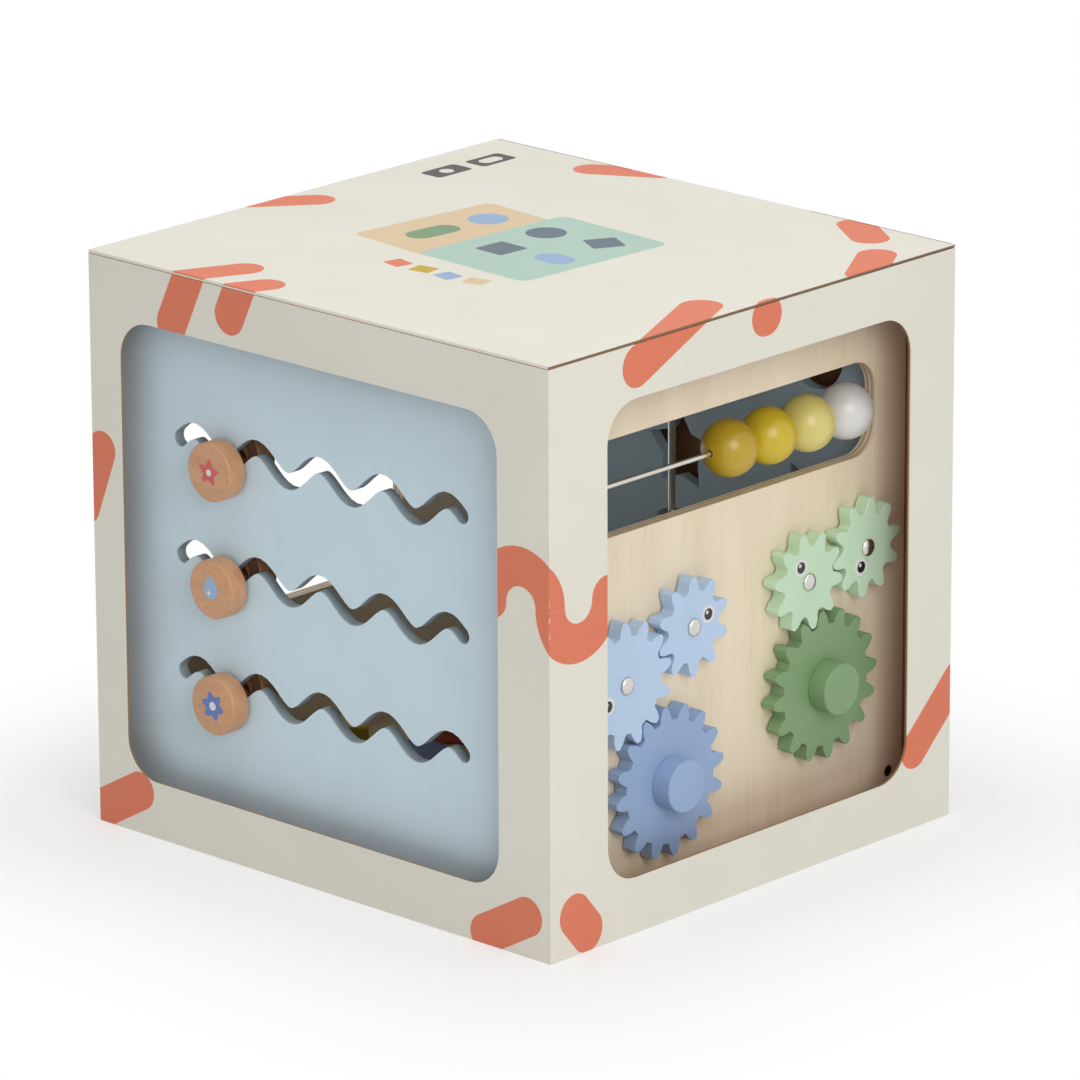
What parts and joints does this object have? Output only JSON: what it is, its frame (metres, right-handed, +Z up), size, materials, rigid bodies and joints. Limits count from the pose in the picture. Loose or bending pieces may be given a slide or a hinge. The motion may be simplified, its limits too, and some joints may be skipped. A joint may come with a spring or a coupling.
{
  "type": "boxed wooden activity cube",
  "caption": "Wooden activity cube with wave-slot sliders, a bead rail, meshed gear trains and a shape sorter, standing in a windowed tuck-top carton with a hinged lid.",
  "frame": {"origin": "bottom centre of the carton, on the surface it stands on", "axes": "+Z up, -Y the front with the slot panel, +X the side with the abacus and the gears"},
  "size_m": [0.36, 0.342, 0.346],
  "materials": {
    "carton_board": "coated board, matt",
    "birch_plywood": "clear matt varnish",
    "pale_blue_paint": "satin paint on plywood",
    "slate_blue_paint": "matt paint on plywood",
    "beech": "clear satin varnish",
    "felt": "pressed brown felt",
    "polished_steel": "polished",
    "dark_steel": "blackened",
    "gold_paint": "satin paint",
    "yellow_paint": "satin paint",
    "pale_yellow_paint": "satin paint",
    "white_paint": "satin paint",
    "dark_green_paint": "satin paint",
    "light_green_paint": "satin paint",
    "mid_blue_paint": "satin paint",
    "light_blue_paint": "satin paint",
    "block_yellow": "satin paint",
    "block_red": "satin paint",
    "block_blue": "satin paint",
    "block_green": "satin paint"
  },
  "bodies": {
    "carton_and_toy": {"abacus_rod": "polished_steel", "back_panel": "slate_blue_paint", "base_panel": "birch_plywood", "blue_end_pin": "polished_steel", "blue_middle_pin": "polished_steel", "carton_bottom": "carton_board", "carton_sleeve": "carton_board", "front_panel": "pale_blue_paint", "green_end_pin": "polished_steel", "green_middle_pin": "polished_steel", "inner_tie_rod": "polished_steel", "left_panel": "birch_plywood", "panel_screw_1": "dark_steel", "panel_screw_2": "dark_steel", "panel_screw_3": "dark_steel", "panel_screw_4": "dark_steel", "panel_screw_5": "dark_steel", "panel_screw_6": "dark_steel", "panel_screw_7": "dark_steel", "panel_screw_8": "dark_steel", "right_panel": "birch_plywood", "round_block": "block_blue", "square_block": "block_green", "star_block": "block_yellow", "top_panel": "birch_plywood", "triangle_block": "block_red"},
    "lid": {"carton_lid": "carton_board"},
    "tuck_flap": {"lid_tuck_flap": "carton_board"},
    "left_dust_flap": {"dust_flap_left": "carton_board"},
    "right_dust_flap": {"dust_flap_right": "carton_board"},
    "slider_1_washer": {"slider_washer_1": "felt"},
    "slider_1_keeper": {"slider_keeper_1": "beech"},
    "slider_1": {"slider_knob_1": "beech"},
    "slider_2_washer": {"slider_washer_2": "felt"},
    "slider_2_keeper": {"slider_keeper_2": "beech"},
    "slider_2": {"slider_knob_2": "beech"},
    "slider_3_washer": {"slider_washer_3": "felt"},
    "slider_3_keeper": {"slider_keeper_3": "beech"},
    "slider_3": {"slider_knob_3": "beech"},
    "bead_1": {"bead_1": "gold_paint"},
    "bead_2": {"bead_2": "yellow_paint"},
    "bead_3": {"bead_3": "pale_yellow_paint"},
    "bead_4": {"bead_4": "white_paint"},
    "green_drive_gear": {"green_drive_gear": "dark_green_paint", "green_drive_knob": "dark_green_paint", "green_drive_spindle": "polished_steel"},
    "green_middle_gear": {"green_middle_gear": "light_green_paint"},
    "green_end_gear": {"green_end_gear": "light_green_paint"},
    "blue_drive_gear": {"blue_drive_gear": "mid_blue_paint", "blue_drive_knob": "mid_blue_paint", "blue_drive_spindle": "polished_steel"},
    "blue_middle_gear": {"blue_middle_gear": "light_blue_paint"},
    "blue_end_gear": {"blue_end_gear": "light_blue_paint"}
  },
  "joints": [
    {"name": "lid_hinge", "type": "hinge", "parent": "carton_and_toy", "child": "lid", "pos_m": [0, -0.171, 0.344], "axis": [1, 0, 0], "range_deg": [0, 110]},
    {"name": "tuck_fold", "type": "hinge", "parent": "lid", "child": "tuck_flap", "pos_m": [0, 0.1684, 0.3437], "axis": [1, 0, 0], "range_deg": [0, 33]},
    {"name": "left_dust_fold", "type": "hinge", "parent": "carton_and_toy", "child": "left_dust_flap", "pos_m": [-0.1777, 0, 0.3437], "axis": [0, -1, 0], "range_deg": [0, 88]},
    {"name": "right_dust_fold", "type": "hinge", "parent": "carton_and_toy", "child": "right_dust_flap", "pos_m": [0.1777, 0, 0.3437], "axis": [0, 1, 0], "range_deg": [0, 88]},
    {"name": "slider_1_travel", "type": "slide", "parent": "carton_and_toy", "child": "slider_1_washer", "axis": [1, 0, 0], "range_m": [-0.0372, 0.1857]},
    {"name": "slider_1_swing", "type": "hinge", "parent": "slider_1_washer", "child": "slider_1_keeper", "pos_m": [-0.0887, -0.1545, 0.2372], "axis": [0, -1, 0], "range_deg": [-269, 1339]},
    {"name": "slider_1_turn", "type": "hinge", "parent": "slider_1_keeper", "child": "slider_1", "pos_m": [-0.08834, -0.1545, 0.23357], "axis": [0, -1, 0], "range_deg": [-2677, 538]},
    {"name": "slider_2_travel", "type": "slide", "parent": "carton_and_toy", "child": "slider_2_washer", "axis": [1, 0, 0], "range_m": [-0.0372, 0.1857]},
    {"name": "slider_2_swing", "type": "hinge", "parent": "slider_2_washer", "child": "slider_2_keeper", "pos_m": [-0.0887, -0.1545, 0.1671], "axis": [0, -1, 0], "range_deg": [-269, 1339]},
    {"name": "slider_2_turn", "type": "hinge", "parent": "slider_2_keeper", "child": "slider_2", "pos_m": [-0.08834, -0.1545, 0.16347], "axis": [0, -1, 0], "range_deg": [-2677, 538]},
    {"name": "slider_3_travel", "type": "slide", "parent": "carton_and_toy", "child": "slider_3_washer", "axis": [1, 0, 0], "range_m": [-0.0372, 0.1857]},
    {"name": "slider_3_swing", "type": "hinge", "parent": "slider_3_washer", "child": "slider_3_keeper", "pos_m": [-0.0887, -0.1545, 0.097], "axis": [0, -1, 0], "range_deg": [-269, 1339]},
    {"name": "slider_3_turn", "type": "hinge", "parent": "slider_3_keeper", "child": "slider_3", "pos_m": [-0.08834, -0.1545, 0.09337], "axis": [0, -1, 0], "range_deg": [-2677, 538]},
    {"name": "bead_1_slide", "type": "slide", "parent": "carton_and_toy", "child": "bead_1", "axis": [0, 1, 0], "range_m": [-0.1284, 0.0048]},
    {"name": "bead_2_slide", "type": "slide", "parent": "carton_and_toy", "child": "bead_2", "axis": [0, 1, 0], "range_m": [-0.1284, 0.0048]},
    {"name": "bead_3_slide", "type": "slide", "parent": "carton_and_toy", "child": "bead_3", "axis": [0, 1, 0], "range_m": [-0.1284, 0.0048]},
    {"name": "bead_4_slide", "type": "slide", "parent": "carton_and_toy", "child": "bead_4", "axis": [0, 1, 0], "range_m": [-0.1284, 0.0048]},
    {"name": "green_drive_turn", "type": "hinge", "parent": "carton_and_toy", "child": "green_drive_gear", "pos_m": [0.1565, 0.0874, 0.0951], "axis": [1, 0, 0], "continuous": true},
    {"name": "green_middle_turn", "type": "hinge", "parent": "carton_and_toy", "child": "green_middle_gear", "pos_m": [0.1565, 0.07208, 0.16094], "axis": [1, 0, 0], "continuous": true},
    {"name": "green_end_turn", "type": "hinge", "parent": "carton_and_toy", "child": "green_end_gear", "pos_m": [0.1565, 0.1233, 0.16988], "axis": [1, 0, 0], "continuous": true},
    {"name": "blue_drive_turn", "type": "hinge", "parent": "carton_and_toy", "child": "blue_drive_gear", "pos_m": [0.1565, -0.046, 0.0701], "axis": [1, 0, 0], "continuous": true},
    {"name": "blue_middle_turn", "type": "hinge", "parent": "carton_and_toy", "child": "blue_middle_gear", "pos_m": [0.1565, -0.08232, 0.13617], "axis": [1, 0, 0], "continuous": true},
    {"name": "blue_end_turn", "type": "hinge", "parent": "carton_and_toy", "child": "blue_end_gear", "pos_m": [0.1565, -0.02638, 0.15731], "axis": [1, 0, 0], "continuous": true}
  ],
  "couplings": [
    {"joint": "tuck_fold", "follows": "lid_hinge", "ratio": 0.3},
    {"joint": "left_dust_fold", "follows": "lid_hinge", "ratio": 0.8},
    {"joint": "right_dust_fold", "follows": "lid_hinge", "ratio": 0.8},
    {"joint": "slider_1_swing", "follows": "slider_1_travel", "rad_per_m": 125.66},
    {"joint": "slider_1_turn", "follows": "slider_1_travel", "rad_per_m": -251.33},
    {"joint": "slider_2_swing", "follows": "slider_2_travel", "rad_per_m": 125.66},
    {"joint": "slider_2_turn", "follows": "slider_2_travel", "rad_per_m": -251.33},
    {"joint": "slider_3_swing", "follows": "slider_3_travel", "rad_per_m": 125.66},
    {"joint": "slider_3_turn", "follows": "slider_3_travel", "rad_per_m": -251.33},
    {"joint": "bead_2_slide", "follows": "bead_1_slide", "ratio": 1},
    {"joint": "bead_3_slide", "follows": "bead_1_slide", "ratio": 1},
    {"joint": "bead_4_slide", "follows": "bead_1_slide", "ratio": 1},
    {"joint": "green_middle_turn", "follows": "green_drive_turn", "ratio": -1.6},
    {"joint": "green_end_turn", "follows": "green_drive_turn", "ratio": 1.6},
    {"joint": "blue_middle_turn", "follows": "blue_drive_turn", "ratio": -1.2308},
    {"joint": "blue_end_turn", "follows": "blue_drive_turn", "ratio": 1.6}
  ]
}
